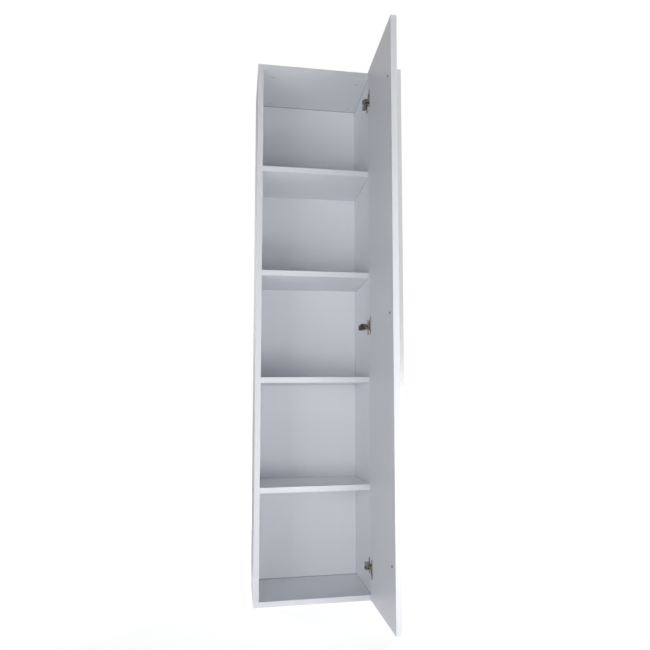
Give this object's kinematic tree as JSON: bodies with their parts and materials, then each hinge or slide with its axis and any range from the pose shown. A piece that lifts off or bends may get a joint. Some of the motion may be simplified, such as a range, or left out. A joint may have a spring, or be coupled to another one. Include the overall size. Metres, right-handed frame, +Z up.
{
  "type": "broom cupboard",
  "caption": "Tall narrow cupboard with fixed shelves, a thin grooved-in back and a full-height plain door on concealed cup hinges with a long channel handle.",
  "frame": {"origin": "centre of the carcass's footprint, at floor level, on the underside of the bottom panel", "axes": "+Z up, -Y to the front where the door closes, +X to the right seen from the front (the hinge side)"},
  "size_m": [0.4141, 0.7364, 1.8],
  "materials": {
    "white_board": "white melamine-faced board, satin",
    "thin_white_board": "white lacquered thin board, satin",
    "beech": "plain, fluted dowel stock",
    "aluminium_profile": "satin anodised",
    "nickel_steel": "nickel plated, semi-bright",
    "zinc_casting": "as cast",
    "white_plastic": "matt",
    "black_plastic": "matt"
  },
  "bodies": {
    "carcass": {"arm_pins": "nickel_steel", "arm_screws": "nickel_steel", "back_panel": "thin_white_board", "bottom_panel": "white_board", "cam_bolts": "nickel_steel", "cam_caps": "white_plastic", "cam_housings": "zinc_casting", "damper_clip": "nickel_steel", "hinge_arm_bottom": "nickel_steel", "hinge_arm_middle": "nickel_steel", "hinge_arm_top": "nickel_steel", "left_side_panel": "white_board", "mounting_plate_bottom": "nickel_steel", "mounting_plate_middle": "nickel_steel", "mounting_plate_top": "nickel_steel", "plate_screws": "nickel_steel", "right_side_panel": "white_board", "shelf_1": "white_board", "shelf_2": "white_board", "shelf_3": "white_board", "shelf_4": "white_board", "shelf_pins": "nickel_steel", "soft_close_damper": "black_plastic", "top_panel": "white_board", "wood_dowels": "beech"},
    "outer_links": {"outer_link_bottom": "nickel_steel", "outer_link_middle": "nickel_steel", "outer_link_top": "nickel_steel"},
    "inner_links": {"inner_link_bottom": "nickel_steel", "inner_link_middle": "nickel_steel", "inner_link_top": "nickel_steel"},
    "door": {"cup_screws": "nickel_steel", "door_panel": "white_board", "handle": "aluminium_profile", "handle_screws": "nickel_steel", "hinge_cup_bottom": "nickel_steel", "hinge_cup_middle": "nickel_steel", "hinge_cup_top": "nickel_steel", "inner_link_cup_pins": "nickel_steel", "outer_link_cup_pins": "nickel_steel"}
  },
  "joints": [
    {"name": "outer_link_hinge", "type": "hinge", "parent": "carcass", "child": "outer_links", "pos_m": [0.166, -0.176, 0.9], "axis": [0, 0, 1], "range_deg": [-1.92, 34.22]},
    {"name": "door_hinge", "type": "hinge", "parent": "outer_links", "child": "door", "pos_m": [0.18408, -0.18587, 0.9], "axis": [0, 0, 1], "range_deg": [-124.2, 6.9]},
    {"name": "inner_link_hinge", "type": "hinge", "parent": "carcass", "child": "inner_links", "pos_m": [0.1627, -0.1614, 0.9], "axis": [0, 0, 1], "range_deg": [-2.02, 36.02]}
  ],
  "couplings": [
    {"joint": "outer_link_hinge", "follows": "door_hinge", "ratio": -0.27536},
    {"joint": "inner_link_hinge", "follows": "door_hinge", "ratio": -0.28985}
  ]
}
